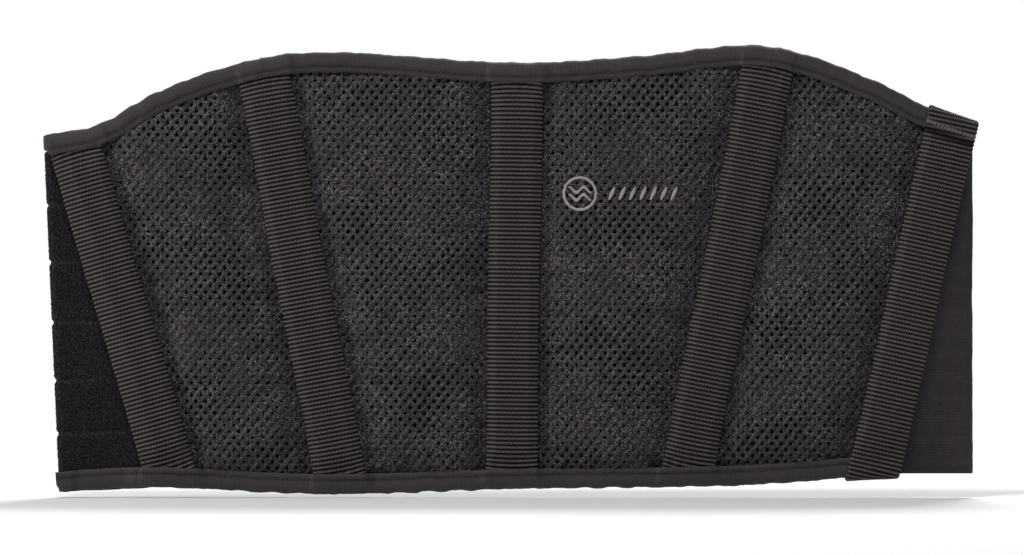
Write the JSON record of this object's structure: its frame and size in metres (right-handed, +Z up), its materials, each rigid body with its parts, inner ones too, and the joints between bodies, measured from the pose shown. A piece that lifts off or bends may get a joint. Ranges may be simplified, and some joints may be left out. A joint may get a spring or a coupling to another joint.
{
  "type": "back brace",
  "caption": "Stayed lumbar support belt: padded mesh back panel with webbing-covered stays, bound edges, a loop-faced wing and an elastic hook wing, both folded behind it.",
  "frame": {"origin": "middle of the lining face that lies against the small of the back, on the centre stay", "axes": "+X to the wearer's right, +Y from the back towards the front of the wearer, +Z up the spine"},
  "size_m": [0.5418, 0.0149, 0.26],
  "materials": {
    "spacer_mesh": "matt open spacer mesh, charcoal",
    "foam": "soft closed-cell foam",
    "lining": "matt brushed knit, black",
    "webbing": "ribbed elastic webbing, charcoal, slight sheen",
    "stay": "smooth sprung strip",
    "binding": "grosgrain tape, charcoal",
    "loop_pile": "matt looped pile, black",
    "elastic": "smooth woven elastic, charcoal",
    "hook_tape": "fine moulded hooks, black",
    "thread": "satin embroidery thread, pale grey"
  },
  "bodies": {
    "left_side": {"mesh_left_side": "spacer_mesh", "foam_left_side": "foam", "lining_left_side": "lining", "webbing_left_side": "webbing", "stay_left_side": "stay", "top_binding_left_side": "binding", "bottom_binding_left_side": "binding", "base_tape": "binding", "loop_base": "loop_pile"},
    "left_back": {"mesh_left_back": "spacer_mesh", "foam_left_back": "foam", "lining_left_back": "lining", "webbing_left_back": "webbing", "stay_left_back": "stay", "top_binding_left_back": "binding", "bottom_binding_left_back": "binding"},
    "centre": {"mesh_centre": "spacer_mesh", "foam_centre": "foam", "lining_centre": "lining", "webbing_centre": "webbing", "stay_centre": "stay", "top_binding_centre": "binding", "bottom_binding_centre": "binding", "emblem_ring": "thread"},
    "right_back": {"mesh_right_back": "spacer_mesh", "foam_right_back": "foam", "lining_right_back": "lining", "webbing_right_back": "webbing", "stay_right_back": "stay", "top_binding_right_back": "binding", "bottom_binding_right_back": "binding", "emblem_dashes": "thread"},
    "right_side": {"mesh_right_side": "spacer_mesh", "foam_right_side": "foam", "lining_right_side": "lining", "webbing_right_side": "webbing", "stay_right_side": "stay", "top_binding_right_side": "binding", "bottom_binding_right_side": "binding", "elastic_base": "elastic"},
    "left_wing": {"loop_wing": "loop_pile", "wing_binding": "binding"},
    "left_wing_end": {"loop_wing_end": "loop_pile", "wing_end_binding": "binding"},
    "right_wing": {"elastic_wing": "elastic"},
    "right_wing_end": {"elastic_wing_end": "elastic", "hook_patch": "hook_tape", "elastic_end_hem": "elastic"}
  },
  "joints": [
    {"name": "left_back_bend", "type": "hinge", "parent": "centre", "child": "left_back", "pos_m": [-0.051, 0, 0], "axis": [0, 0, -1], "range_deg": [0, 47]},
    {"name": "left_side_bend", "type": "hinge", "parent": "left_back", "child": "left_side", "pos_m": [-0.175, 0, 0], "axis": [0, 0, -1], "range_deg": [0, 45]},
    {"name": "left_wing_swing", "type": "hinge", "parent": "left_side", "child": "left_wing", "pos_m": [-0.2645, 0.0002, -0.015], "axis": [-0.0436, 0, 0.999], "range_deg": [0, 135]},
    {"name": "left_wing_bend", "type": "hinge", "parent": "left_wing", "child": "left_wing_end", "pos_m": [-0.18058, 0.0025, -0.01134], "axis": [0.0436, 0, -0.999], "range_deg": [0, 45]},
    {"name": "right_back_bend", "type": "hinge", "parent": "centre", "child": "right_back", "pos_m": [0.051, 0, 0], "axis": [0, 0, 1], "range_deg": [0, 56]},
    {"name": "right_side_bend", "type": "hinge", "parent": "right_back", "child": "right_side", "pos_m": [0.175, 0, 0], "axis": [0, 0, 1], "range_deg": [0, 38]},
    {"name": "right_wing_swing", "type": "hinge", "parent": "right_side", "child": "right_wing", "pos_m": [0.261, 0.0002, -0.012], "axis": [0, 0, -1], "range_deg": [0, 135]},
    {"name": "right_wing_bend", "type": "hinge", "parent": "right_wing", "child": "right_wing_end", "pos_m": [0.171, 0.0025, -0.012], "axis": [0, 0, 1], "range_deg": [0, 42]}
  ],
  "couplings": [
    {"joint": "left_side_bend", "follows": "left_wing_swing", "ratio": 0.3333},
    {"joint": "left_wing_bend", "follows": "left_wing_swing", "ratio": 0.3333},
    {"joint": "right_side_bend", "follows": "right_wing_swing", "ratio": 0.28},
    {"joint": "right_wing_bend", "follows": "right_wing_swing", "ratio": 0.31}
  ]
}
